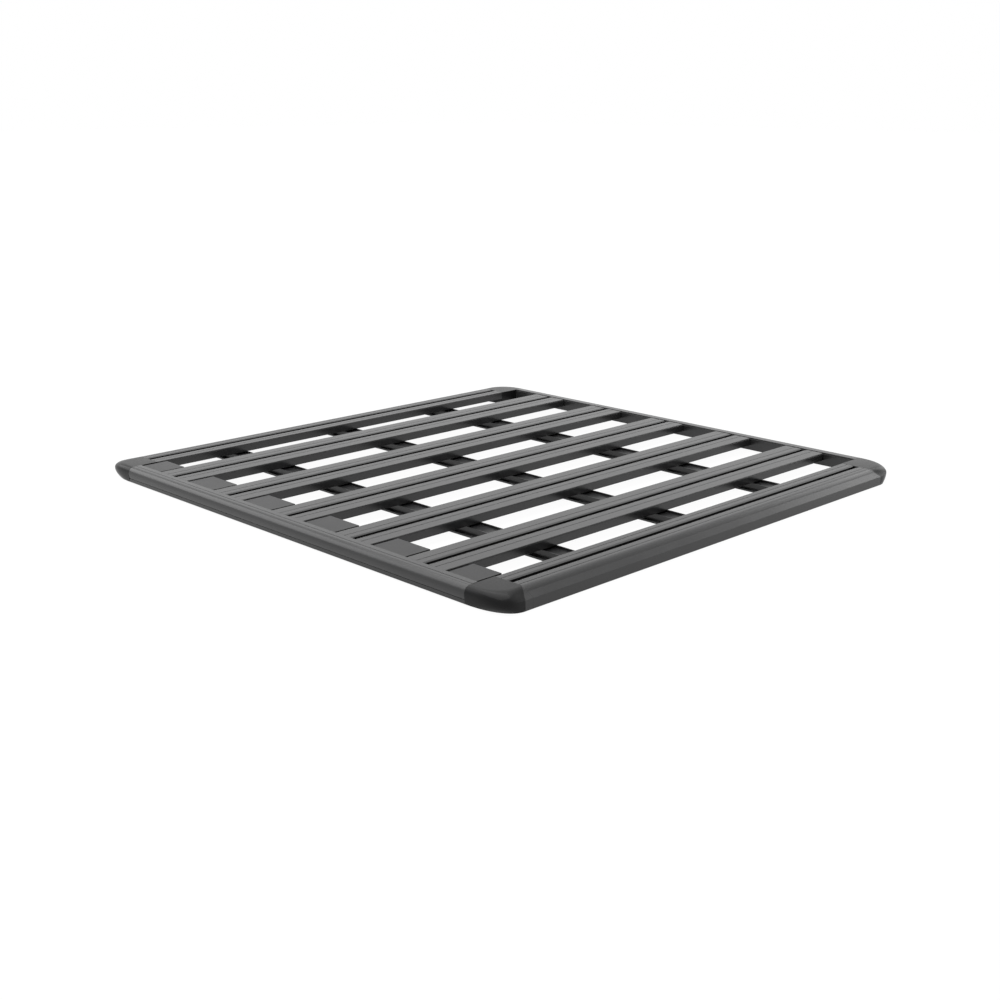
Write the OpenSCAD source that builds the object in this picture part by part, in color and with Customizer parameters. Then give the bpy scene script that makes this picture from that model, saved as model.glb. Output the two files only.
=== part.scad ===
// Flat platform roof rack: a low open deck of five slotted planks inside a
// frame of two slotted side rails, two bullnose end rails and four corner
// castings, carried on three crossbars. Millimetres, +Z up. The front is -X,
// the left side is -Y, and the planks run along X. The origin is under the
// middle of the rack, at the level of the crossbars' undersides.

/* [Deck] */
// Overall width of the rack, across the planks
rack_w = 1376; // [1300:1:1500]
// Overall length of the rack, along the planks
rack_l = 1362; // [1200:1:1900]
// Height from the crossbars' undersides to the top of the planks
rack_h = 38.5; // [38:0.5:45]
// Distance between neighbouring planks' middles
plank_pitch = 221.5; // [200:0.5:230]
// Smallest gap between a side rail and the plank beside it
outer_gap_min = 30; // [20:1:60]

/* [Plank extrusion] */
// Width of one plank
plank_w = 112; // [100:1:120]
// Thickness of a plank and of the side rails' inner part
plank_t = 19.8; // [19:0.1:22]
// Radius of the rounded top edges
edge_r = 1.5; // [0.5:0.5:2.5]
// Setback of the top above the fine step along the edges
edge_step = 0.8; // [0.4:0.1:1.5]
// Drop from the top to that step
edge_step_drop = 2.8; // [2.6:0.1:4]
// Gap between the planks and the rear rail
plank_gap = 2.5; // [0.5:0.5:4]
// Thickness of the extrusions' outer walls
wall = 2.4; // [1.8:0.1:2.8]
// Distance from the middle of a plank to the web in each of its halves
web_x = 34; // [30:1:40]
// Thickness of the webs
web_t = 2; // [1.5:0.1:3]
// Distance from the middle of a plank to the fine groove on its top
plank_groove_x = 27; // [22:0.5:32]
// Width of a fine groove
groove_w = 1.6; // [1:0.1:2]
// Depth of a fine groove
groove_d = 0.8; // [0.4:0.1:1.2]

/* [Accessory channel] */
// Width of the channel's mouth
mouth_w = 11; // [9:0.5:13]
// Thickness of the lips beside the mouth
lip_t = 2.8; // [2:0.1:3.5]
// Width of the channel under the lips
channel_w = 22; // [18:0.5:26]
// Depth of the channel under the lips
channel_d = 8; // [6:0.5:9]
// Thickness of the walls round the channel
channel_wall = 2.2; // [1.5:0.1:2.5]
// Width of the sloping lead-in beside the mouth of a deck channel
lead_w = 5; // [2:0.5:6]
// Depth of the lead-in at the mouth
lead_d = 1.2; // [0.5:0.1:1.5]

/* [Side rails] */
// Distance from the outer face to the middle of the channel
slot_inset = 61; // [58:0.5:70]
// Distance from the middle of the channel to the inner face
rail_inner = 39.5; // [36:0.5:45]
// Distance from the middle of the channel to a fine groove
rail_groove_x = 23.3; // [18:0.1:26]
// Height of the outer part, from the top of the deck down
rail_h = 38; // [36:0.5:38]
// Width of the deep outer part
skirt_w = 38; // [34:0.5:40]
// Distance from the outer face to where the flat top ends
shoulder_inset = 31; // [28:0.5:33]
// Radius of the rounded shoulder
shoulder_r = 22; // [18:0.5:24]
// Angle through which the shoulder turns before the crease
shoulder_angle = 50; // [40:1:55]
// Drop from the top to where the sloping facet meets the outer face
facet_drop = 16.8; // [15:0.1:20]
// Size of the small bevel along the bottom edges
toe_bevel = 0.8; // [0.5:0.1:2.5]

/* [End rails] */
// Height of the end rails and the corners, from the top of the deck down
end_h = 36; // [34:0.5:38]
// Distance from the outermost point to the inner face
end_depth = 38.5; // [36:0.5:45]
// Width of the ledge at the foot of the bead
ledge_w = 3.5; // [2:0.5:5]
// Drop from the top to the ledge and the infill plates
ledge_drop = 3.2; // [2:0.1:4]
// Width of the raised bead
bead_w = 13; // [10:0.5:15]
// Height of the bead above the rest of the top
bead_h = 0.5; // [0.2:0.1:1]
// Radius of the nose above its widest point
nose_r = 15; // [12:0.5:17]
// Radius of the nose below its widest point
under_r = 40; // [30:1:60]
// Drop from the top to the shadow groove
shadow_drop = 26.3; // [24:0.1:28]
// Height of the shadow groove
shadow_h = 1.2; // [0.8:0.1:2]
// Depth of the shadow groove behind the lower lip
shadow_d = 1.5; // [1:0.1:2]
// Setback of the lower lip from the outermost point
toe_inset = 1.7; // [1:0.1:3]
// Height of the inner face below the deck's top
inner_h = 32; // [28:0.5:33]
// Distance from the inner face to where the underside levels out
keel_x = 14; // [10:1:20]
// Wall thickness of the end rails
end_wall = 2.8; // [2:0.1:3]

/* [Corner castings] */
// Length of a front corner along the side
front_corner_l = 79; // [76:1:110]
// Length of a rear corner along the side
rear_corner_l = 96; // [84:1:110]
// Outer radius of the front corners in plan
front_corner_r = 48; // [46:1:60]
// Outer radius of the rear corners in plan
rear_corner_r = 76; // [60:1:78]
// Extra inset of the flat top halfway round a corner
corner_shoulder = 12; // [0:1:14]
// Tuck-in of the foot halfway round a corner
corner_tuck = 8; // [0:1:10]
// Turn over which the side outline becomes the end outline
blend_angle = 50; // [30:5:90]
// Wall thickness of the corner castings
corner_wall = 4; // [3:0.5:6]
// Steps of the blended sweep round a corner
corner_steps = 18; // [12:1:24]

/* [Crossbars] */
// Distance between neighbouring crossbars
crossbar_pitch = 360; // [320:5:400]
// Width of a crossbar's body
bar_w = 46; // [45:0.1:60]
// Reach of the base flange beyond the body, on each side
flange_w = 9; // [4:0.1:12]
// Thickness of the base flange
flange_t = 4.2; // [2.5:0.1:5]
// Height of the seat ribs that carry the planks
seat_h = 5; // [1.5:0.1:5.5]
// Thickness of the seat ribs and the body's sides
rib_t = 2.2; // [1.8:0.1:3]

/* [Infill plates] */
// Reach of an infill plate behind the front rail
infill_l = 64.2; // [50:0.1:80]
// Thickness of the plate and its skirt
infill_t = 1.8; // [1.2:0.1:3]
// Depth of the skirt round the plate
infill_fold = 12; // [8:0.5:14]
// Gap on each side, to the planks or the corner castings
infill_gap = 6; // [3:0.5:10]

/* [Fit] */
// Gap where an extrusion ends against its neighbour
end_gap = 0.2; // [0.1:0.05:0.5]

/* [Hidden] */
$fn = 48;

// The side rails' channels and inner faces, and the planks between them
slot_y = rack_w / 2 - slot_inset;
rail_edge_y = slot_y - rail_inner;
PLANKS = floor((2 * rail_edge_y - plank_w - 2 * outer_gap_min) / plank_pitch) + 1;
GAPS = PLANKS + 1;

// Colours of the coated extrusions and of the moulded or folded parts
EXTRUSION = [0.22, 0.22, 0.23];
DARK = [0.14, 0.14, 0.15];

// A cut starts this far outside what it cuts
over = 1;

// Places that follow from the driving sizes
end_face_x = rack_l / 2 - end_depth;
bar_h = rack_h - plank_t;
bar_half_l = slot_y + slot_inset - skirt_w - end_gap;
front_end_x = -rack_l / 2 + front_corner_l;
rear_end_x = rack_l / 2 - rear_corner_l;
channel_box_w = channel_w + 2 * channel_wall;
lap_t = min(wall, ledge_drop - end_gap);

// Side rail outline, measured outwards from the middle of the channel
skirt_x = slot_inset - skirt_w;
shoulder_x = slot_inset - shoulder_inset;
crease_x = shoulder_x + shoulder_r * sin(shoulder_angle);
crease_drop = shoulder_r * (1 - cos(shoulder_angle));
facet_angle = atan2(facet_drop - crease_drop, slot_inset - crease_x);

// End rail outline, measured outwards from the inner face
nose_x = end_depth - nose_r;
nose_drop = bead_h + nose_r;
under_x = end_depth - under_r;
under_angle = asin((shadow_drop - nose_drop) / under_r);
toe_x = end_depth - toe_inset;

// The void of an accessory channel, open at y = 0 and reaching down
module channel_void() {
    translate([-mouth_w / 2, -lip_t - over])
        square([mouth_w, lip_t + 2 * over]);
    translate([-channel_w / 2, -lip_t - channel_d])
        square([channel_w, channel_d]);
}

// Sloping lead-in on both sides of a mouth in the deck
module lead_in() {
    m = mouth_w / 2;
    polygon([
        [-m - lead_w, over],
        [-m - lead_w, 0],
        [-m, -lead_d],
        [m, -lead_d],
        [m + lead_w, 0],
        [m + lead_w, over]
    ]);
}

// A fine groove across the top at x
module fine_groove(x) {
    translate([x - groove_w / 2, -groove_d])
        square([groove_w, groove_d + over]);
}

// A closed chamber between two x and two y values
module chamber(x0, x1, y0, y1) {
    translate([x0, y0])
        square([x1 - x0, y1 - y0]);
}

// Plank outline: a slab with a fine step below its two rounded top edges
module plank_outline() {
    half = plank_w / 2;
    crown = half - edge_step;
    translate([-half, -plank_t])
        square([plank_w, plank_t - edge_step_drop]);
    translate([-crown, -plank_t])
        square([2 * crown, plank_t - edge_r]);
    translate([-crown + edge_r, -plank_t])
        square([2 * (crown - edge_r), plank_t]);
    for (side = [-1, 1])
        translate([side * (crown - edge_r), -edge_r])
            circle(r = edge_r);
}

// Plank section: the channel in the middle, two chambers in each half and
// a flat one under the channel
module plank_section() {
    floor_y = -plank_t + wall;
    under_channel = -lip_t - channel_d - channel_wall;
    side_x = channel_box_w / 2;
    difference() {
        plank_outline();
        channel_void();
        lead_in();
        chamber(-channel_w / 2, channel_w / 2, floor_y, under_channel);
        for (side = [0, 1])
            mirror([side, 0]) {
                fine_groove(plank_groove_x);
                chamber(side_x, web_x - web_t / 2, floor_y, -wall);
                chamber(web_x + web_t / 2, plank_w / 2 - wall - edge_step, floor_y, -wall);
            }
    }
}

// Deep outer part of a side rail, drawn inset by t: flat top, rounded
// shoulder, crease, sloping facet, upright face
module skirt_outline(t) {
    turn = shoulder_angle;
    r = shoulder_r - t;
    reach = shoulder_r / cos(turn / 2);
    arc_end = [shoulder_x + r * sin(turn), -shoulder_r + r * cos(turn)];
    facet_top = [crease_x - t * sin(facet_angle), -crease_drop - t * cos(facet_angle)];
    facet_foot = [slot_inset - t, -facet_drop - t * tan((90 - facet_angle) / 2)];
    toe = t > 0
        ? [[slot_inset - t, -rail_h + t]]
        : [[slot_inset - toe_bevel, -rail_h], [slot_inset, -rail_h + toe_bevel]];
    polygon(concat(
        [[skirt_x + t, -rail_h + t]],
        toe,
        [facet_foot, facet_top, arc_end, [shoulder_x, -t], [skirt_x + t, -t]]
    ));
    intersection() {
        translate([shoulder_x, -shoulder_r])
            circle(r = r);
        translate([shoulder_x, -shoulder_r])
            polygon([
                [0, 0],
                [0, reach],
                [reach * sin(turn / 2), reach],
                [reach * sin(turn), reach * cos(turn)]
            ]);
    }
}

// Side rail section, outwards along +x
module side_section() {
    floor_y = -plank_t + wall;
    under_channel = -lip_t - channel_d - channel_wall;
    crown = rail_inner - edge_step;
    join_x = skirt_x + over;
    difference() {
        union() {
            translate([-rail_inner, -plank_t])
                square([rail_inner + join_x, plank_t - edge_step_drop]);
            translate([-crown, -plank_t])
                square([crown + join_x, plank_t - edge_r]);
            translate([-crown + edge_r, -plank_t])
                square([crown - edge_r + join_x, plank_t]);
            translate([-crown + edge_r, -edge_r])
                circle(r = edge_r);
            skirt_outline(0);
        }
        channel_void();
        lead_in();
        chamber(-channel_w / 2, channel_w / 2, floor_y, under_channel);
        chamber(-rail_inner + wall + edge_step, -channel_box_w / 2, floor_y, -wall);
        chamber(channel_box_w / 2, skirt_x, floor_y, -wall);
        skirt_outline(wall);
        fine_groove(-rail_groove_x);
        fine_groove(rail_groove_x);
    }
}

// Rounded nose of an end rail, inset by t: a quarter round over a flatter
// arc that tucks in towards the shadow groove
module nose_arcs(t) {
    intersection() {
        translate([nose_x, -nose_drop])
            circle(r = nose_r - t);
        translate([nose_x, -nose_drop])
            square([nose_r, nose_r]);
    }
    intersection() {
        translate([under_x, -nose_drop])
            circle(r = under_r - t);
        translate([nose_x, -shadow_drop])
            square([end_depth, shadow_drop - nose_drop]);
    }
}

// End rail section, outwards along +x from the inner face
module end_section() {
    w = end_wall;
    difference() {
        union() {
            nose_arcs(0);
            polygon([
                [0, -ledge_drop],
                [0, -inner_h],
                [keel_x, -end_h],
                [toe_x - toe_bevel, -end_h],
                [toe_x, -end_h + toe_bevel],
                [toe_x, -shadow_drop - shadow_h],
                [toe_x - shadow_d, -shadow_drop - shadow_h],
                [toe_x - shadow_d, -shadow_drop],
                [nose_x, -shadow_drop],
                [nose_x, -bead_h],
                [ledge_w + bead_w, -bead_h],
                [ledge_w + bead_w, 0],
                [ledge_w, 0],
                [ledge_w, -ledge_drop]
            ]);
        }
        union() {
            nose_arcs(w);
            polygon([
                [w, -ledge_drop - w],
                [w, -inner_h + w],
                [keel_x, -end_h + w],
                [toe_x - w, -end_h + w],
                [toe_x - w, -shadow_drop - shadow_h - w],
                [toe_x - shadow_d - w, -shadow_drop],
                [nose_x, -shadow_drop],
                [nose_x, -bead_h - w],
                [ledge_w + w, -bead_h - w],
                [ledge_w + w, -ledge_drop - w]
            ]);
        }
    }
}

// Crossbar section: base flange, hollow body with two seat ribs on top and
// an accessory channel open downwards
module bar_section() {
    half = bar_w / 2;
    floor_top = bar_h - seat_h;
    difference() {
        union() {
            translate([-half - flange_w, 0])
                square([bar_w + 2 * flange_w, flange_t]);
            translate([-half, 0])
                square([bar_w, bar_h]);
        }
        translate([-half + rib_t, floor_top])
            square([bar_w - 2 * rib_t, seat_h + over]);
        mirror([0, 1])
            channel_void();
        for (side = [0, 1])
            mirror([side, 0])
                chamber(channel_box_w / 2, half - rib_t, flange_t, floor_top - rib_t);
    }
}

// Lays a section along X between two x values, its +x turned to +Y
module along_x(x0, x1) {
    translate([x0, 0, rack_h])
        rotate([90, 0, 90])
            linear_extrude(height = x1 - x0)
                children();
}

// Plank i from the left: its top laps the front rail's ledge
module plank(i) {
    front = -end_face_x + end_gap;
    color(EXTRUSION)
        translate([0, (i - (PLANKS + 1) / 2) * plank_pitch, 0])
            difference() {
                along_x(front - ledge_w, end_face_x - plank_gap)
                    plank_section();
                translate([front - ledge_w - over, -plank_w / 2 - over, rack_h - plank_t - over])
                    cube([ledge_w + over, plank_w + 2 * over, plank_t + over - lap_t]);
            }
}

// Side rail on the +Y side
module side_rail() {
    translate([0, slot_y, 0])
        along_x(front_end_x + end_gap, rear_end_x - end_gap)
            side_section();
}

module left_rail() {
    color(EXTRUSION)
        mirror([0, 1, 0])
            side_rail();
}

module right_rail() {
    color(EXTRUSION)
        side_rail();
}

// End rail at +X
module end_rail() {
    half = rail_edge_y - end_gap;
    translate([end_face_x, half, rack_h])
        rotate([90, 0, 0])
            linear_extrude(height = 2 * half)
                end_section();
}

module front_rail() {
    color(EXTRUSION)
        mirror([1, 0, 0])
            end_rail();
}

module rear_rail() {
    color(EXTRUSION)
        end_rail();
}

module crossbar(place) {
    color(DARK)
        translate([place * crossbar_pitch, bar_half_l, 0])
            rotate([90, 0, 0])
                linear_extrude(height = 2 * bar_half_l)
                    bar_section();
}

// Outlines of a corner where it meets a side rail and an end rail, as
// [inset from the outermost point, drop from the top], point for point
ARC_POINTS = 8;
QUARTER = 90;
SIDE_OUTLINE = concat(
    [for (i = [0:ARC_POINTS]) let (a = shoulder_angle * i / ARC_POINTS)
        [shoulder_inset - shoulder_r * sin(a), shoulder_r * (1 - cos(a))]],
    [
        [(slot_inset - crease_x) / 2, (crease_drop + facet_drop) / 2],
        [0, facet_drop],
        [0, (facet_drop + shadow_drop) / 2],
        [0, shadow_drop],
        [0, end_h - toe_bevel],
        [toe_bevel, end_h]
    ]
);
END_OUTLINE = concat(
    [for (i = [0:ARC_POINTS]) let (a = QUARTER * i / ARC_POINTS)
        [nose_r * (1 - sin(a)), bead_h + nose_r * (1 - cos(a))]],
    [for (i = [1:3]) let (a = under_angle * i / 3)
        [under_r * (1 - cos(a)), nose_drop + under_r * sin(a)]],
    [
        [toe_inset, shadow_drop + shadow_h],
        [toe_inset, end_h - toe_bevel],
        [toe_inset + toe_bevel, end_h]
    ]
);
OUTLINE_POINTS = len(SIDE_OUTLINE);

// Smooth step from 0 to 1
function ease(s) = s * s * (3 - 2 * s);

// Extra inset at a turn of a, at a drop from the top: the flat top rounds off
// and the foot tucks in, most of all halfway round
function swell(a, drop) = sin(2 * a) * (drop < nose_drop
    ? corner_shoulder * (1 - drop / nose_drop)
    : corner_tuck * (drop - nose_drop) / (end_h - nose_drop));

// Point i of the corner outline at a turn of a, inset by t, in a corner of
// radius r
function blend_point(i, a, t, r) =
    let (s = ease(min(1, a / blend_angle)))
    let (p = SIDE_OUTLINE[i] * (1 - s) + END_OUTLINE[i] * s)
    [r - t - p[0] - swell(a, p[1]), rack_h - t - p[1]];

// One ring of the corner's skin: the outline turned by a, its last point on
// the base. The inner skin, inset by t, leaves out the bevel's point
function skin_ring(a, t, r, base) =
    let (last = OUTLINE_POINTS - (t > 0 ? 2 : 1))
    [for (i = [0:last]) let (p = blend_point(i, a, t, r))
        [p[0] * sin(a), p[0] * cos(a), i == last ? base : p[1]]];

// The same ring moved by a step
function moved(ring, step) = [for (p = ring) p + step];

// All rings of a skin about the corner's centre, from the side rail (+Y)
// round to the end rail (+X), with the straight runs to both rails
function skin_rings(t, r, base, side_run, end_run) = concat(
    [moved(skin_ring(0, t, r, base), [-side_run + t, 0, 0])],
    [for (k = [0:corner_steps]) skin_ring(QUARTER * k / corner_steps, t, r, base)],
    [moved(skin_ring(QUARTER, t, r, base), [0, -end_run + t, 0])]
);

// Points of a skin: its rings, then the inner corner at the top and the base
function skin_points(rings, t, base, side_run, end_run) = concat(
    [for (ring = rings) each ring],
    [
        [-side_run + t, -end_run + t, rings[0][0][2]],
        [-side_run + t, -end_run + t, base]
    ]
);

// Faces of a skin of m rings of n points whose first point has index z
function skin_faces(m, n, z) =
    let (crown = z + m * n, heel = crown + 1)
    concat(
        [for (k = [0:m - 2]) for (i = [0:n - 2])
            [z + k * n + i, z + k * n + i + 1, z + (k + 1) * n + i + 1]],
        [for (k = [0:m - 2]) for (i = [0:n - 2])
            [z + k * n + i, z + (k + 1) * n + i + 1, z + (k + 1) * n + i]],
        [for (k = [0:m - 2]) [crown, z + k * n, z + (k + 1) * n]],
        [concat([crown, heel], [for (i = [n - 1:-1:0]) z + i])],
        [concat([crown], [for (i = [0:n - 1]) z + (m - 1) * n + i], [heel])]
    );

// A face turned over
function turned(face) = [for (i = [len(face) - 1:-1:0]) face[i]];

// Indices of a skin's bottom edge, all the way round
function bottom_loop(m, n, z) = concat([for (k = [0:m - 1]) z + k * n + n - 1], [z + m * n + 1]);

// Corner casting at +X +Y: a shell open underneath, whose outside blends
// from the side rail's outline to the end rail's
module corner(corner_l, r) {
    side_run = corner_l - r;
    end_run = rack_w / 2 - rail_edge_y - r;
    base = rack_h - end_h;
    outer = skin_rings(0, r, base, side_run, end_run);
    inner = skin_rings(corner_wall, r, base, side_run, end_run);
    m = len(outer);
    outer_n = OUTLINE_POINTS;
    inner_n = OUTLINE_POINTS - 1;
    outer_points = skin_points(outer, 0, base, side_run, end_run);
    inner_points = skin_points(inner, corner_wall, base, side_run, end_run);
    z = len(outer_points);
    outer_loop = bottom_loop(m, outer_n, 0);
    inner_loop = bottom_loop(m, inner_n, z);
    rim = [for (j = [0:m]) let (next = (j + 1) % (m + 1))
        [inner_loop[j], inner_loop[next], outer_loop[next], outer_loop[j]]];
    color(DARK)
        translate([rack_l / 2 - r, rack_w / 2 - r, 0])
            polyhedron(
                points = concat(outer_points, inner_points),
                faces = concat(
                    skin_faces(m, outer_n, 0),
                    [for (face = skin_faces(m, inner_n, z)) turned(face)],
                    rim
                ),
                convexity = 6
            );
}

module corner_rear_right() {
    corner(rear_corner_l, rear_corner_r);
}

module corner_rear_left() {
    mirror([0, 1, 0])
        corner(rear_corner_l, rear_corner_r);
}

module corner_front_right() {
    mirror([1, 0, 0])
        corner(front_corner_l, front_corner_r);
}

module corner_front_left() {
    mirror([1, 0, 0])
        mirror([0, 1, 0])
            corner(front_corner_l, front_corner_r);
}

// Edges of the open gaps between the planks, and beside the outer two
function plank_edge(i, side) = (i - (PLANKS + 1) / 2) * plank_pitch + side * plank_w / 2;
function gap_low(g) = g == 1 ? -rail_edge_y : plank_edge(g - 1, 1);
function gap_high(g) = g == GAPS ? rail_edge_y : plank_edge(g, -1);

// Infill plate of gap g: its front lip lies on the front rail's ledge, and a
// skirt runs round it underneath
module infill(g) {
    y0 = gap_low(g) + infill_gap;
    width = gap_high(g) - infill_gap - y0;
    front = -end_face_x + end_gap;
    under = rack_h - ledge_drop + end_gap;
    skirt = infill_fold - infill_t;
    color(DARK) {
        translate([front - ledge_w, y0, under])
            cube([ledge_w + infill_l, width, infill_t]);
        difference() {
            translate([front, y0, under - skirt])
                cube([infill_l, width, infill_fold]);
            translate([front + infill_t, y0 + infill_t, under - skirt - over])
                cube([infill_l - 2 * infill_t, width - 2 * infill_t, skirt + over]);
        }
    }
}

front_rail();
rear_rail();
left_rail();
right_rail();
for (i = [1:PLANKS])
    plank(i);
corner_front_left();
corner_front_right();
corner_rear_left();
corner_rear_right();
crossbar(-1);  // crossbar_front
crossbar(0);  // crossbar_middle
crossbar(1);  // crossbar_rear
for (g = [1:GAPS])
    infill(g);
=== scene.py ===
"""Looks of the flat platform roof rack: coated metals, corner castings, fasteners, studio and camera.

Everything is in metres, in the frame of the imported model: +Z up, the front at -X, the left at -Y.
"""
import math

import bpy
import bmesh
from mathutils import Matrix, Vector


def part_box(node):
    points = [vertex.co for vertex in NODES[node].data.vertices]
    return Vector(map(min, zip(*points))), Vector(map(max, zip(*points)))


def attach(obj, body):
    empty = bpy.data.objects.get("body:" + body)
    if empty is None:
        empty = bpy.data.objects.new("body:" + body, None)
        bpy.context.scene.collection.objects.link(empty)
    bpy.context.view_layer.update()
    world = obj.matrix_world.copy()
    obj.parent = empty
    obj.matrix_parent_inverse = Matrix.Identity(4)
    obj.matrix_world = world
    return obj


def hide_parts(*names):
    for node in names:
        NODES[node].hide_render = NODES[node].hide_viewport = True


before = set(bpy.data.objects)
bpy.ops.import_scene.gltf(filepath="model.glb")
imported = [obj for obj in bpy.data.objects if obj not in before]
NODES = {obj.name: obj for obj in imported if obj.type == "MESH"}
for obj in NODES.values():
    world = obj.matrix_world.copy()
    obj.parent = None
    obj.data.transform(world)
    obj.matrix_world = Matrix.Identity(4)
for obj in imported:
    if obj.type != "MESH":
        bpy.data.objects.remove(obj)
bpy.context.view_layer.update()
MM = 0.001

# Camera, fitted to the photograph's straight lines
CAMERA_PLACE = Vector((-2.334, -2.346, 0.9055))
CAMERA_HEADING = math.radians(45.219)
CAMERA_DIP = math.radians(16.237)
CAMERA_ROLL = math.radians(0.152)
CAMERA_LENS = 50.36
CAMERA_REACH = 200.0
SENSOR_WIDTH = 36.0

# Studio: light that falls on things, and the white that cameras and gloss see
AMBIENT_LIGHT = 0.15
SEEN_WHITE = 1.0
FLOOR_SIZE = 60.0
FLOOR_DROP = 0.2 * MM
FLOOR_COLOUR = (0.35, 0.35, 0.35, 1.0)
SHADOW_SHARE = 0.1
NEAR_GLOW = 0.965
NEAR_RADIUS = 1.5
FAR_RADIUS = 5.0

# Softboxes: name, place, what it faces, width, height and radiance
SOFTBOXES = (
    ("overhead", (-0.3, 0.8, 3.0), (-0.3, 0.8, 0.0), 4.0, 4.0, 1.6),
    ("rear_panel", (4.0, -0.6, 1.8), (0.3, -0.6, 0.0), 2.0, 1.6, 1.6),
    ("left_panel", (-1.8, 3.2, 2.0), (-0.4, 0.0, 0.0), 3.0, 2.0, 1.7),
    ("low_panel", (2.7, -1.95, 0.45), (0.5, -0.7, 0.0), 1.4, 0.9, 2.5),
)

# Coatings: noise scales in cycles per metre, spread of the shades, painted highlight on edges and bump
# depth
SPECKLE_SCALE = 1500
CLOUD_SCALE = 9
HIGHLIGHT_PATCH_SCALE = 60
DIE_LINE_SCALE = (3, 700)
CAST_GRAIN_SCALE = 200
ZINC_GRAIN_SCALE = 900
NOISE_LOW = 0.3
NOISE_HIGH = 0.7
SHADE_SPREAD = 0.28
EDGE_RADIUS = 0.5 * MM
EDGE_TURN_LOW = 0.75
EDGE_TURN_HIGH = 0.99
# Painted edge highlight: patch pattern, lift of the edge colour, share mixed in, and the extra gloss on the
# same edges
HIGHLIGHT_PATCH_LOW = 0.42
HIGHLIGHT_PATCH_HIGH = 0.66
EDGE_HIGHLIGHT_GAIN = 2.4
EDGE_HIGHLIGHT_LIFT = 0.015
EDGE_HIGHLIGHT_SHARE = 0.5
EDGE_GLOSS = 0.08
CLOUD_DULLING = 0.03
SPECKLE_DULLING = 0.05
BUMP_DEPTH = 0.05 * MM

# Corner castings: lead of the round beyond the joint, and fullness of its curves in plan at three heights
FRONT_CORNER = {"lead": 21 * MM, "top": 3.0, "nose": 3.5, "foot": 2.2}
REAR_CORNER = {"lead": 15 * MM, "top": 2.6, "nose": 2.4, "foot": 1.95}
SHOULDER_INSET = 31 * MM
SHOULDER_RADIUS = 22 * MM
SHOULDER_TURN = math.radians(50)
SHOULDER_SHARE = 2 / 3
FACET_DROP = 16.8 * MM
ROUNDING_TURN = math.radians(24)
NOSE_INSET = 15 * MM
NOSE_DROP = 15.5 * MM
BEAD_DROP = 0.5 * MM
FOOT_SIDE_INSET = 0.8 * MM
FOOT_END_INSET = 2.5 * MM
CASTING_WALL = 4 * MM
CASTING_SHARP = math.radians(24)
MERGE_DISTANCE = 0.001 * MM
ROUND_STEPS = 28
UPPER_STEPS = 10
LOWER_STEPS = 6

# Screws and their places
SCREW_RADIUS = 5.2 * MM
SCREW_STAND = 0.35 * MM
SCREW_LAND = 0.6
SCREW_EDGE = 0.3 * MM
SCREW_SIDES = 24
SOCKET_RADIUS = 2.3 * MM
SOCKET_EDGE = 0.5 * MM
SOCKET_DEPTH = 2.2 * MM
CHANNEL_ROOF = 10.8 * MM
PLANK_SCREW_REACH = 34 * MM
RAIL_SCREW_INSET = 34 * MM
SIDE_SCREW_INSET = 20 * MM
END_SCREW_INSET = 18 * MM
CORNER_SCREW_STEPS = (14 * MM, 38 * MM)

# Rivets and their places
RIVET_RADIUS = 3.9 * MM
RIVET_HEIGHT = 1.5 * MM
RIVET_SIDES = 20
RIVET_STEPS = 5
RIVET_INSET = 18 * MM
RIVET_RISE = 5 * MM
SKIRT_FACE = 5.3 * MM


# Node helpers

def add(tree, kind, **settings):
    """A new shader node with the given settings; a setting named in_X sets the input socket X."""
    made = tree.nodes.new(kind)
    for key, value in settings.items():
        if key.startswith("in_"):
            made.inputs[key[3:].replace("_", " ")].default_value = value
        else:
            setattr(made, key, value)
    return made


def maths(tree, operation, first, second):
    """A Math node's result; each operand is a number or an output socket."""
    made = add(tree, "ShaderNodeMath", operation=operation)
    for socket, value in zip(made.inputs, (first, second)):
        if isinstance(value, (int, float)):
            socket.default_value = value
        else:
            tree.links.new(value, socket)
    return made.outputs[0]


def remap(tree, value, low, high, to_low, to_high):
    """Maps a value from one range to another, held at both ends."""
    made = add(tree, "ShaderNodeMapRange")
    tree.links.new(value, made.inputs["Value"])
    for name, number in (("From Min", low), ("From Max", high), ("To Min", to_low), ("To Max", to_high)):
        made.inputs[name].default_value = number
    return made.outputs["Result"]


def spread(tree, value, to_low, to_high):
    """Maps the range that noise mostly keeps to, to another."""
    return remap(tree, value, NOISE_LOW, NOISE_HIGH, to_low, to_high)


def noise(tree, coords, scale, stretch=(1, 1, 1), detail=2.0, rough=0.5):
    """Noise in object space; scale is in cycles per metre, stretch squeezes each axis."""
    mapping = add(tree, "ShaderNodeMapping")
    mapping.inputs["Scale"].default_value = [scale * s for s in stretch]
    tree.links.new(coords, mapping.inputs["Vector"])
    made = add(tree, "ShaderNodeTexNoise", in_Scale=1.0, in_Detail=detail, in_Roughness=rough)
    tree.links.new(mapping.outputs["Vector"], made.inputs["Vector"])
    return made.outputs["Fac"]


def bumped(tree, height, strength, normal=None):
    """A normal disturbed by a height, on top of another normal where one is given."""
    made = add(tree, "ShaderNodeBump", in_Strength=strength, in_Distance=BUMP_DEPTH)
    tree.links.new(height, made.inputs["Height"])
    if normal is not None:
        tree.links.new(normal, made.inputs["Normal"])
    return made.outputs["Normal"]


# Materials

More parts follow.
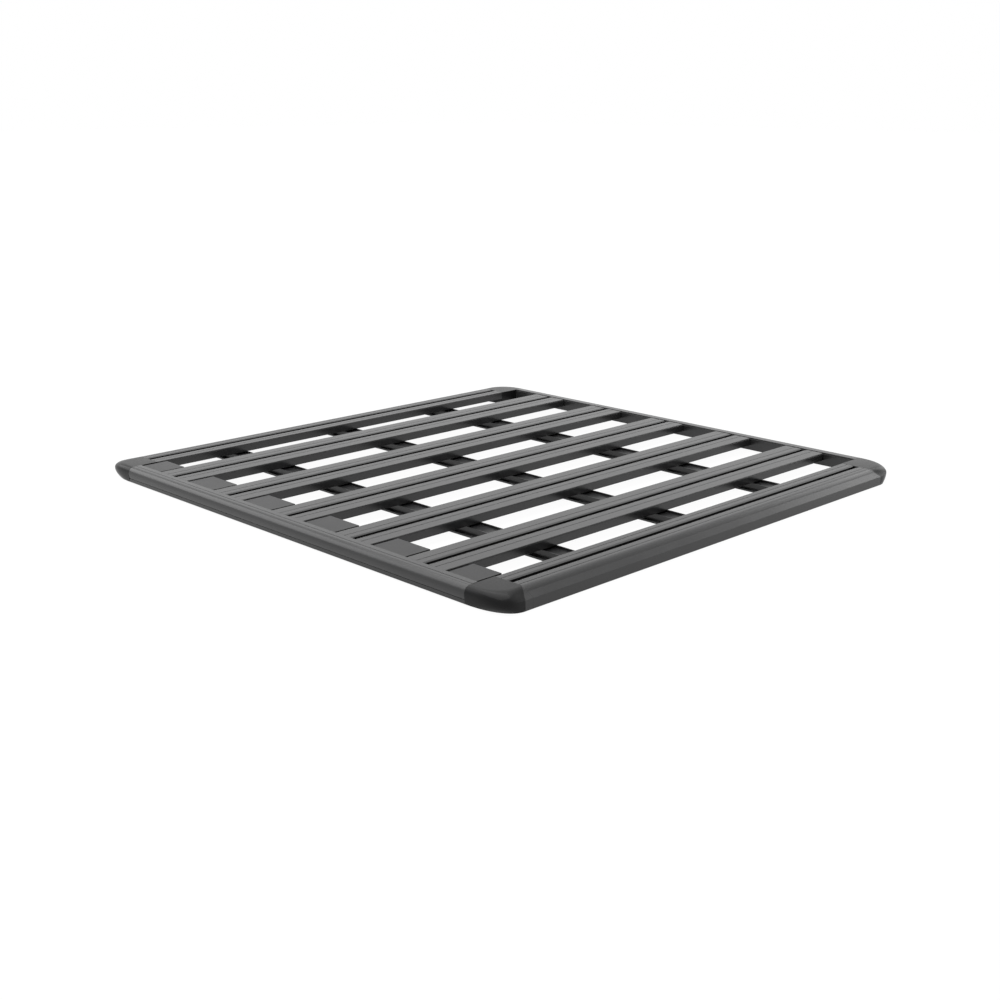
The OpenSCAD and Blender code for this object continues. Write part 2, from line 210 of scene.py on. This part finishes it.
def painted_edge_highlight(tree, coords, rounded):
    """1 on edges, where the rounded normal leaves the face's own, broken into patches, and 0 elsewhere: the
    mask of the painted edge highlight and of the extra gloss there.
    """
    geometry = add(tree, "ShaderNodeNewGeometry")
    turn = add(tree, "ShaderNodeVectorMath", operation="DOT_PRODUCT")
    tree.links.new(rounded, turn.inputs[0])
    tree.links.new(geometry.outputs["Normal"], turn.inputs[1])
    edge = remap(tree, turn.outputs["Value"], EDGE_TURN_LOW, EDGE_TURN_HIGH, 1.0, 0.0)
    patches = noise(tree, coords, HIGHLIGHT_PATCH_SCALE, detail=5.0, rough=0.65)
    patchy = remap(tree, patches, HIGHLIGHT_PATCH_LOW, HIGHLIGHT_PATCH_HIGH, 0.0, 1.0)
    return maths(tree, "MULTIPLY", edge, patchy)


def coated_metal(name, colour, roughness, specular, grain_stretch, grain, peel):
    """Powder-coated metal: orange-peel bump, faint lengthwise die lines, uneven gloss, and edges painted
    lighter as a highlight and made glossier.
    """
    material = bpy.data.materials.new(name)
    material.use_nodes = True
    tree = material.node_tree
    bsdf = tree.nodes["Principled BSDF"]
    coords = add(tree, "ShaderNodeTexCoord").outputs["Object"]

    speckle = noise(tree, coords, SPECKLE_SCALE, detail=3.0, rough=0.6)
    clouds = noise(tree, coords, CLOUD_SCALE, detail=4.0)
    lines = noise(tree, coords, 1, stretch=grain_stretch, detail=2.0)
    rounded = add(tree, "ShaderNodeBevel", samples=6, in_Radius=EDGE_RADIUS).outputs["Normal"]
    edge_highlight = painted_edge_highlight(tree, coords, rounded)

    shade = maths(tree, "ADD", maths(tree, "MULTIPLY", speckle, 0.5), maths(tree, "MULTIPLY", clouds, 0.5))
    tone = add(tree, "ShaderNodeMix", data_type="RGBA")
    tone.inputs["A"].default_value = [(1 - SHADE_SPREAD) * c for c in colour] + [1.0]
    tone.inputs["B"].default_value = [(1 + SHADE_SPREAD) * c for c in colour] + [1.0]
    tree.links.new(spread(tree, shade, 0.0, 1.0), tone.inputs["Factor"])
    # Painted highlight: the base colour is lightened in patches along the edges, standing in for light
    # caught on their small rounds; the coat is not worn there.
    highlighted = add(tree, "ShaderNodeMix", data_type="RGBA")
    highlighted.inputs["B"].default_value = [EDGE_HIGHLIGHT_GAIN * c + EDGE_HIGHLIGHT_LIFT for c in colour] + [1.0]
    tree.links.new(tone.outputs["Result"], highlighted.inputs["A"])
    tree.links.new(maths(tree, "MULTIPLY", edge_highlight, EDGE_HIGHLIGHT_SHARE), highlighted.inputs["Factor"])
    tree.links.new(highlighted.outputs["Result"], bsdf.inputs["Base Color"])

    cloudy = spread(tree, clouds, -CLOUD_DULLING, CLOUD_DULLING)
    speckled = spread(tree, speckle, -SPECKLE_DULLING, SPECKLE_DULLING)
    dull = maths(tree, "ADD", maths(tree, "ADD", cloudy, speckled), roughness)
    # Extra gloss on the same edges as the painted highlight.
    glossed = maths(tree, "SUBTRACT", dull, maths(tree, "MULTIPLY", edge_highlight, EDGE_GLOSS))
    tree.links.new(glossed, bsdf.inputs["Roughness"])
    bsdf.inputs["Specular IOR Level"].default_value = specular

    peeled = bumped(tree, speckle, peel, rounded)
    tree.links.new(bumped(tree, lines, grain, peeled), bsdf.inputs["Normal"])
    return material


def zinc_material():
    """Black zinc-plated steel of the screws and rivets."""
    material = bpy.data.materials.new("black_zinc")
    material.use_nodes = True
    tree = material.node_tree
    bsdf = tree.nodes["Principled BSDF"]
    coords = add(tree, "ShaderNodeTexCoord").outputs["Object"]
    grain = noise(tree, coords, ZINC_GRAIN_SCALE, detail=4.0)
    tone = add(tree, "ShaderNodeMix", data_type="RGBA")
    tone.inputs["A"].default_value = (0.06, 0.06, 0.065, 1.0)
    tone.inputs["B"].default_value = (0.13, 0.13, 0.135, 1.0)
    tree.links.new(grain, tone.inputs["Factor"])
    tree.links.new(tone.outputs["Result"], bsdf.inputs["Base Color"])
    tree.links.new(spread(tree, grain, 0.28, 0.42), bsdf.inputs["Roughness"])
    bsdf.inputs["Metallic"].default_value = 0.9
    tree.links.new(bumped(tree, grain, 0.2), bsdf.inputs["Normal"])
    return material


def dress_frame():
    """Gives every CAD node the coating of its family, and returns the coating of each family."""
    along, across = DIE_LINE_SCALE
    along_x = (along, across, across)
    along_y = (across, along, across)
    even = (CAST_GRAIN_SCALE,) * 3
    extrusion_x = coated_metal("coat_along_x", (0.038, 0.038, 0.039), roughness=0.24, specular=0.45,
                               grain_stretch=along_x, grain=0.25, peel=0.3)
    extrusion_y = coated_metal("coat_along_y", (0.040, 0.040, 0.041), roughness=0.24, specular=0.48,
                               grain_stretch=along_y, grain=0.25, peel=0.3)
    cast = coated_metal("coat_casting", (0.012, 0.012, 0.0125), roughness=0.28, specular=0.17,
                        grain_stretch=even, grain=0.15, peel=0.5)
    crossbar = coated_metal("coat_crossbar", (0.032, 0.032, 0.033), roughness=0.32, specular=0.45,
                            grain_stretch=along_y, grain=0.25, peel=0.3)
    moulded = coated_metal("coat_sheet", (0.025, 0.025, 0.026), roughness=0.32, specular=0.2,
                           grain_stretch=even, grain=0.1, peel=0.3)
    families = {
        "front_rail": extrusion_y, "rear_rail": extrusion_y,
        "left_rail": extrusion_x, "right_rail": extrusion_x, "plank": extrusion_x,
        "corner": cast, "crossbar": crossbar, "infill": moulded,
    }
    for name, piece in NODES.items():
        family = name if name in families else name.split("_")[0]
        for slot in piece.material_slots:
            slot.material = families[family]
    return families


# Piece helpers

def named(start):
    """The names of the CAD nodes that start so, in order."""
    return sorted(name for name in NODES if name.startswith(start))


def middle(node):
    low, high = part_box(node)
    return (low + high) / 2


def ring(mesh, centre, radius, height, count):
    """A ring of vertices about +Z."""
    made = []
    for k in range(count):
        a = 2 * math.pi * k / count
        made.append(mesh.verts.new(centre + Vector((radius * math.cos(a), radius * math.sin(a), height))))
    return made


def hexagon_ring(mesh, centre, radius, height, count):
    """A ring of vertices on a hexagon about +Z; radius reaches to its corners."""
    sector = math.pi / 3
    made = []
    for k in range(count):
        a = 2 * math.pi * k / count
        reach = radius * math.cos(sector / 2) / math.cos(a % sector - sector / 2)
        made.append(mesh.verts.new(centre + Vector((reach * math.cos(a), reach * math.sin(a), height))))
    return made


def bridge(mesh, lower, upper):
    """Quads between two rings of the same count."""
    count = len(lower)
    for k in range(count):
        following = (k + 1) % count
        mesh.faces.new((lower[k], lower[following], upper[following], upper[k]))


def stack(mesh, rings):
    """A closed body through a row of rings."""
    for lower, upper in zip(rings, rings[1:]):
        bridge(mesh, lower, upper)
    mesh.faces.new(rings[-1])
    mesh.faces.new(list(reversed(rings[0])))


def piece_from(mesh, name, material):
    """Turns a bmesh into a named piece that rides on the rack."""
    bmesh.ops.recalc_face_normals(mesh, faces=mesh.faces)
    data = bpy.data.meshes.new(name)
    mesh.to_mesh(data)
    mesh.free()
    data.materials.append(material)
    piece = bpy.data.objects.new(name, data)
    bpy.context.scene.collection.objects.link(piece)
    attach(piece, "root")
    return piece


# Corner castings

def mix(first, second, share):
    return first + (second - first) * share


def full_curve(turn, reach_x, reach_y, fullness):
    """A point of a superellipse's quarter, from the side (turn 0) to the end."""
    power = 2 / fullness
    return Vector((reach_x * math.sin(turn) ** power, reach_y * max(math.cos(turn), 0.0) ** power, 0))


def shoulder_point(turn):
    """A point of the side rail's round shoulder, as shares of its reach outwards and downwards."""
    out = SHOULDER_RADIUS * math.sin(turn) / SHOULDER_INSET
    down = SHOULDER_RADIUS * (1 - math.cos(turn)) / FACET_DROP
    return out, down


def rail_shoulder():
    """The side rail's round shoulder and then its sloping facet, as shares outwards and downwards."""
    crease_out, crease_down = shoulder_point(SHOULDER_TURN)
    shares = []
    for k in range(UPPER_STEPS + 1):
        s = k / UPPER_STEPS
        if s <= SHOULDER_SHARE:
            shares.append(shoulder_point(SHOULDER_TURN * s / SHOULDER_SHARE))
        else:
            t = (s - SHOULDER_SHARE) / (1 - SHOULDER_SHARE)
            shares.append((mix(crease_out, 1.0, t), mix(crease_down, 1.0, t)))
    return shares


def casting_ring(turn, form, span, side_depth, depth, wall):
    """One section of a casting, measured outwards from its inner corner and down from the top.

    The flat top rounds over to the widest line, and from there the foot tucks in. At the side joint the
    upper curve is the side rail's own. With a wall it is the inner skin, that far from both joints.
    """
    share = turn / (math.pi / 2)
    lead = Vector((form["lead"], 0, 0))
    reach_x = span.x - form["lead"] - wall
    reach_y = span.y - wall
    top = full_curve(turn, span.x - NOSE_INSET - wall, reach_y - SHOULDER_INSET, form["top"])
    nose = lead + full_curve(turn, reach_x, reach_y, form["nose"])
    foot = lead + full_curve(turn, reach_x - FOOT_END_INSET, reach_y - FOOT_SIDE_INSET, form["foot"])
    top_drop = mix(0.0, BEAD_DROP, share) + wall
    nose_drop = mix(FACET_DROP, NOSE_DROP, share)
    base_drop = mix(side_depth, depth, share * share * (3 - 2 * share))
    rounding = min(1.0, turn / ROUNDING_TURN)
    ring_points = []
    for k, (rail_out, rail_down) in enumerate(rail_shoulder()):
        a = 0.5 * math.pi * k / UPPER_STEPS
        point = mix(top, nose, mix(rail_out, math.sin(a), rounding))
        point.z = mix(top_drop, nose_drop, mix(rail_down, 1 - math.cos(a), rounding))
        ring_points.append(point)
    for k in range(1, LOWER_STEPS + 1):
        t = k / LOWER_STEPS
        point = mix(nose, foot, t * t)
        point.z = mix(nose_drop, base_drop, t)
        ring_points.append(point)
    for point in ring_points:
        point.x = max(point.x, wall)
        point.y = max(point.y, wall)
    return ring_points


def rail_ring(slant, span, depth):
    """The side rail's outline near the joint, its outer face reaching forward by slant."""
    ring_points = []
    for out, down in rail_shoulder():
        ring_points.append(Vector((slant * out, span.y - SHOULDER_INSET * (1 - out), FACET_DROP * down)))
    for k in range(1, LOWER_STEPS + 1):
        inset = FOOT_SIDE_INSET if k == LOWER_STEPS else 0.0
        ring_points.append(Vector((slant, span.y - inset, mix(FACET_DROP, depth, k / LOWER_STEPS))))
    return ring_points


def casting_skin(mesh, sections, place, wall, depth):
    """A skin through the sections, with flat walls at both joints; returns its first band and open foot."""
    rings = []
    for section in sections:
        rings.append([mesh.verts.new(place(point)) for point in section])
    crown = mesh.verts.new(place(Vector((wall, wall, wall))))
    heel = mesh.verts.new(place(Vector((wall, wall, depth))))
    faces = []
    for first, second in zip(rings, rings[1:]):
        for k in range(len(first) - 1):
            face = mesh.faces.new((first[k], first[k + 1], second[k + 1], second[k]))
            face.smooth = True
            faces.append(face)
        mesh.faces.new((crown, first[0], second[0]))
    mesh.faces.new([crown, heel] + rings[0][::-1])
    mesh.faces.new([crown] + rings[-1] + [heel])
    first_band = faces[:len(sections[0]) - 1]
    foot = [points[-1] for points in rings] + [heel]
    return first_band, foot


def casting(corner, form, coat, rail_coat):
    """A hollow corner casting, open underneath, in place of the solid of the same name.

    Up to the slanting joint it carries on the side rail's outline, in the side rail's coat.
    """
    low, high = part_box(corner)
    end = 1 if "rear" in corner else -1
    side = 1 if "right" in corner else -1
    span = Vector((high.x - low.x, high.y - low.y, 0))
    depth = high.z - low.z
    side_depth = high.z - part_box("right_rail" if side > 0 else "left_rail")[0].z
    inner_corner = Vector((low.x if end > 0 else high.x, low.y if side > 0 else high.y, high.z))

    def place(point):
        return inner_corner + Vector((end * point.x, side * point.y, -point.z))

    turns = [0.5 * math.pi * k / ROUND_STEPS for k in range(ROUND_STEPS + 1)]
    outside = [rail_ring(0.0, span, side_depth), rail_ring(form["lead"], span, side_depth)]
    outside += [casting_ring(turn, form, span, side_depth, depth, 0.0) for turn in turns]
    repeated = turns[:1] * 2 + turns
    inside = [casting_ring(turn, form, span, side_depth, depth, CASTING_WALL) for turn in repeated]
    mesh = bmesh.new()
    rail_band, outer_foot = casting_skin(mesh, outside, place, 0.0, depth)
    for face in rail_band:
        face.material_index = 1
    inner_foot = casting_skin(mesh, inside, place, CASTING_WALL, depth)[1]
    bridge(mesh, inner_foot, outer_foot)
    bmesh.ops.remove_doubles(mesh, verts=mesh.verts, dist=MERGE_DISTANCE)
    piece = piece_from(mesh, corner + "_casting", coat)
    piece.data.materials.append(rail_coat)
    piece.data.set_sharp_from_angle(angle=CASTING_SHARP)
    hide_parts(corner)


def castings(coats):
    for corner in named("corner_"):
        form = REAR_CORNER if "rear" in corner else FRONT_CORNER
        casting(corner, form, coats["corner"], coats["left_rail"])


# Fasteners

def flush_screw(mesh, place):
    """A screw with a hexagon socket, seen from below: its head stands just out of the face at place."""
    face = -SCREW_STAND
    stack(mesh, [
        ring(mesh, place, SCREW_RADIUS, 0.0, SCREW_SIDES),
        ring(mesh, place, SCREW_RADIUS, SCREW_LAND * face, SCREW_SIDES),
        ring(mesh, place, SCREW_RADIUS - SCREW_EDGE, face, SCREW_SIDES),
        ring(mesh, place, SOCKET_RADIUS + SOCKET_EDGE, face, SCREW_SIDES),
        hexagon_ring(mesh, place, SOCKET_RADIUS, face, SCREW_SIDES),
        hexagon_ring(mesh, place, SOCKET_RADIUS, face + SOCKET_DEPTH, SCREW_SIDES),
    ])


def dome_rivet(mesh, place, outward):
    """A low dome head on a face at place, standing out along the given unit vector."""
    first_vert = len(mesh.verts)
    rings = []
    for s in range(RIVET_STEPS):
        a = 0.5 * math.pi * s / RIVET_STEPS
        radius = RIVET_RADIUS * math.cos(a)
        rings.append(ring(mesh, Vector(), radius, RIVET_HEIGHT * math.sin(a), RIVET_SIDES))
    stack(mesh, rings)
    mesh.verts.ensure_lookup_table()
    turn = Vector((0, 0, 1)).rotation_difference(outward).to_matrix()
    for vert in mesh.verts[first_vert:]:
        vert.co = place + turn @ vert.co


def crossbar_screws(material):
    """Screws up through the roofs of the crossbars' channels, two to a plank and one to a side rail."""
    mesh = bmesh.new()
    for bar in named("crossbar_"):
        low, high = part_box(bar)
        ys = [low.y + RAIL_SCREW_INSET, high.y - RAIL_SCREW_INSET]
        for plank in named("plank_"):
            ys += [middle(plank).y - PLANK_SCREW_REACH, middle(plank).y + PLANK_SCREW_REACH]
        for y in ys:
            flush_screw(mesh, Vector((middle(bar).x, y, CHANNEL_ROOF)))
    piece_from(mesh, "crossbar_screws", material)


def corner_screws(material):
    """Screws in the undersides of the rails beside each corner casting, where its spigots would reach."""
    mesh = bmesh.new()
    for corner in named("corner_"):
        low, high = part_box(corner)
        side_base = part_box("right_rail" if "right" in corner else "left_rail")[0].z
        end_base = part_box("rear_rail" if "rear" in corner else "front_rail")[0].z
        side_y = high.y - SIDE_SCREW_INSET if "right" in corner else low.y + SIDE_SCREW_INSET
        end_x = high.x - END_SCREW_INSET if "rear" in corner else low.x + END_SCREW_INSET
        away_x = -1 if "rear" in corner else 1
        away_y = -1 if "right" in corner else 1
        inner_x = low.x if "rear" in corner else high.x
        inner_y = low.y if "right" in corner else high.y
        for step in CORNER_SCREW_STEPS:
            flush_screw(mesh, Vector((inner_x + away_x * step, side_y, side_base)))
            flush_screw(mesh, Vector((end_x, inner_y + away_y * step, end_base)))
    piece_from(mesh, "corner_screws", material)


def infill_rivets(material):
    """Two rivets inside each infill plate's front skirt."""
    mesh = bmesh.new()
    for infill in named("infill_"):
        low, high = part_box(infill)
        for y in (low.y + RIVET_INSET, high.y - RIVET_INSET):
            dome_rivet(mesh, Vector((low.x + SKIRT_FACE, y, low.z + RIVET_RISE)), Vector((1, 0, 0)))
    piece_from(mesh, "infill_rivets", material)


def fasteners():
    zinc = zinc_material()
    crossbar_screws(zinc)
    corner_screws(zinc)
    infill_rivets(zinc)


# Studio

def seen_directly(tree):
    """1 for rays that show the background: camera, glossy and transmission rays."""
    path = add(tree, "ShaderNodeLightPath")
    seen = maths(tree, "MAXIMUM", path.outputs["Is Camera Ray"], path.outputs["Is Glossy Ray"])
    return maths(tree, "MAXIMUM", seen, path.outputs["Is Transmission Ray"])


def white_world():
    """A world that is white to look at and gives only a little light."""
    world = bpy.data.worlds.new("studio")
    bpy.context.scene.world = world
    world.use_nodes = True
    tree = world.node_tree
    background = tree.nodes["Background"]
    background.inputs["Color"].default_value = (1.0, 1.0, 1.0, 1.0)
    strength = remap(tree, seen_directly(tree), 0.0, 1.0, AMBIENT_LIGHT, SEEN_WHITE)
    tree.links.new(strength, background.inputs["Strength"])


def floor_material():
    """Pale to the light that bounces; to the eye a near-white glow that still takes the rack's shadow."""
    material = bpy.data.materials.new("pale_floor")
    material.use_nodes = True
    tree = material.node_tree
    tree.nodes.remove(tree.nodes["Principled BSDF"])
    output = tree.nodes["Material Output"]
    pale = add(tree, "ShaderNodeBsdfDiffuse", in_Color=FLOOR_COLOUR)
    shaded = add(tree, "ShaderNodeBsdfDiffuse", in_Color=(SHADOW_SHARE,) * 3 + (1.0,))
    glow = add(tree, "ShaderNodeEmission", in_Color=(1, 1, 1, 1))
    reach = add(tree, "ShaderNodeVectorMath", operation="LENGTH")
    tree.links.new(add(tree, "ShaderNodeTexCoord").outputs["Object"], reach.inputs[0])
    strength = remap(tree, reach.outputs["Value"], NEAR_RADIUS, FAR_RADIUS, NEAR_GLOW, SEEN_WHITE)
    tree.links.new(strength, glow.inputs["Strength"])
    lifted = add(tree, "ShaderNodeAddShader")
    tree.links.new(shaded.outputs[0], lifted.inputs[0])
    tree.links.new(glow.outputs[0], lifted.inputs[1])
    choice = add(tree, "ShaderNodeMixShader")
    tree.links.new(seen_directly(tree), choice.inputs[0])
    tree.links.new(pale.outputs[0], choice.inputs[1])
    tree.links.new(lifted.outputs[0], choice.inputs[2])
    tree.links.new(choice.outputs[0], output.inputs["Surface"])
    return material


def plain_floor():
    data = bpy.data.meshes.new("floor")
    half = FLOOR_SIZE / 2
    corners = [(-half, -half, 0), (half, -half, 0), (half, half, 0), (-half, half, 0)]
    data.from_pydata(corners, [], [(0, 1, 2, 3)])
    data.materials.append(floor_material())
    floor = bpy.data.objects.new("floor", data)
    floor.location.z = -FLOOR_DROP
    bpy.context.scene.collection.objects.link(floor)


def softboxes():
    """Rectangular area lights, each turned to what it faces."""
    for name, place, target, width, height, radiance in SOFTBOXES:
        light = bpy.data.lights.new(name, "AREA")
        light.energy = radiance * math.pi * width * height
        light.shape = "RECTANGLE"
        light.size = width
        light.size_y = height
        softbox = bpy.data.objects.new(name, light)
        softbox.location = place
        softbox.rotation_euler = (Vector(target) - Vector(place)).to_track_quat("-Z", "Y").to_euler()
        bpy.context.scene.collection.objects.link(softbox)


def camera():
    """The camera at the photograph's place and angle."""
    forward = Vector((math.cos(CAMERA_HEADING) * math.cos(CAMERA_DIP),
                      math.sin(CAMERA_HEADING) * math.cos(CAMERA_DIP),
                      -math.sin(CAMERA_DIP)))
    right = forward.cross(Vector((0, 0, 1))).normalized()
    up = right.cross(forward)
    rolled_right = math.cos(CAMERA_ROLL) * right + math.sin(CAMERA_ROLL) * up
    rolled_up = -math.sin(CAMERA_ROLL) * right + math.cos(CAMERA_ROLL) * up
    data = bpy.data.cameras.new("camera")
    data.sensor_width = SENSOR_WIDTH
    data.lens = CAMERA_LENS
    data.clip_end = CAMERA_REACH
    eye = bpy.data.objects.new("camera", data)
    matrix = Matrix((rolled_right, rolled_up, -forward)).transposed().to_4x4()
    matrix.translation = CAMERA_PLACE
    eye.matrix_world = matrix
    bpy.context.scene.collection.objects.link(eye)
    bpy.context.scene.camera = eye


camera()
coats = dress_frame()
castings(coats)
fasteners()
white_world()
plain_floor()
softboxes()
bpy.context.scene.view_settings.view_transform = "Standard"
